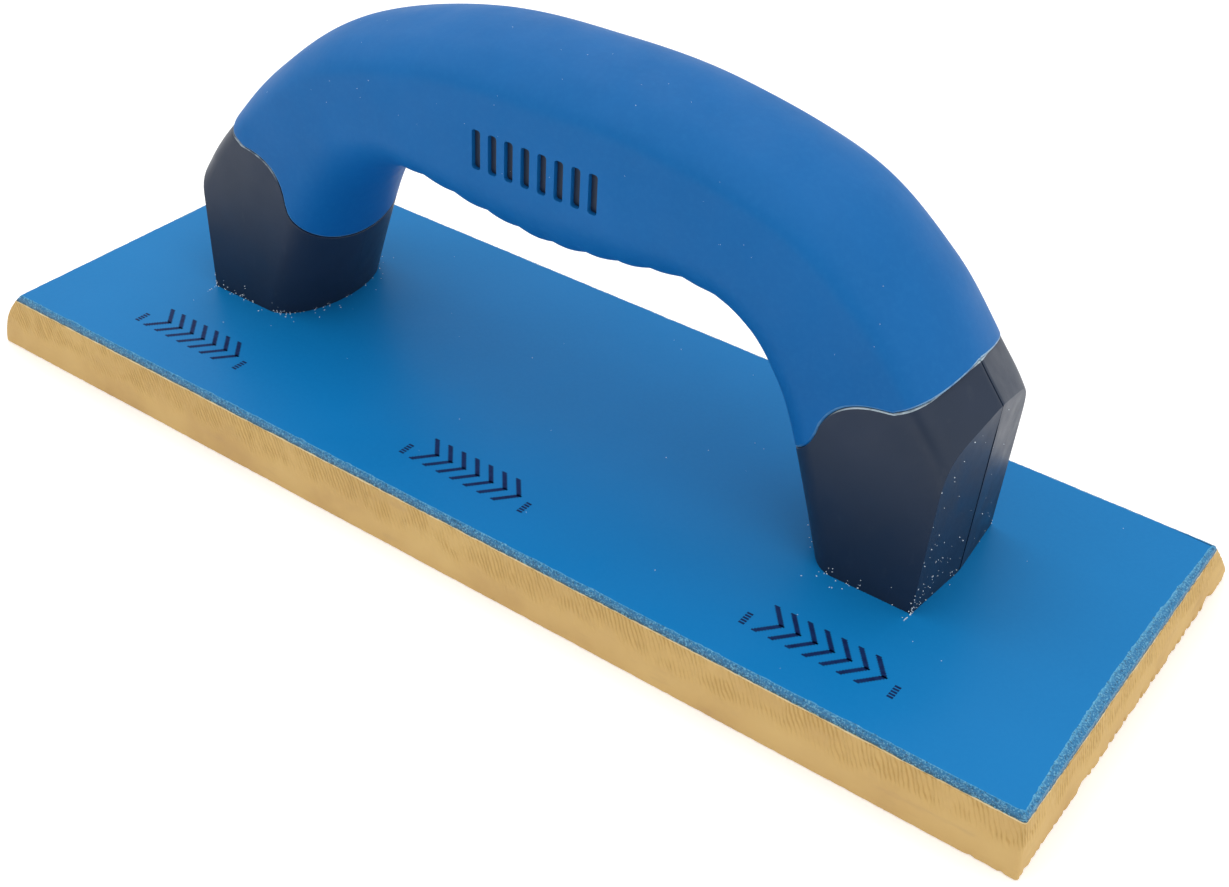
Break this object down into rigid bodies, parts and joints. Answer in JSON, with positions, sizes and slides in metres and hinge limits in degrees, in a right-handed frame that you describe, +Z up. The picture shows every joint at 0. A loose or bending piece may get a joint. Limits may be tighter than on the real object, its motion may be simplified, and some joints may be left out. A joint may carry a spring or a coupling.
{
  "type": "grout float",
  "caption": "Hand float with a thick rubber working face on a rigid plate and an arched two-part grip screwed on over its middle.",
  "frame": {"origin": "centre of the rubber working face, on the surface the float rests on", "axes": "+X along the float, -Y towards the long side whose edges are square, +Z up towards the handle"},
  "size_m": [0.25, 0.098, 0.0931],
  "materials": {
    "pad_rubber": "matt tan foam rubber with fine saw marks on its sides",
    "adhesive": "thin dried contact adhesive",
    "plate_laminate": "semi-gloss blue laminate with sanded pale edges",
    "core_plastic": "satin moulded navy plastic",
    "grip_elastomer": "satin blue thermoplastic elastomer",
    "screw_steel": "bright zinc plated"
  },
  "bodies": {
    "root": {"rubber_pad": "pad_rubber", "adhesive_layer": "adhesive", "backing_plate": "plate_laminate", "core_shell_front": "core_plastic", "core_shell_rear": "core_plastic", "soft_grip": "grip_elastomer", "handle_screw_1": "screw_steel", "handle_screw_2": "screw_steel", "handle_screw_3": "screw_steel", "handle_screw_4": "screw_steel"}
  },
  "joints": []
}
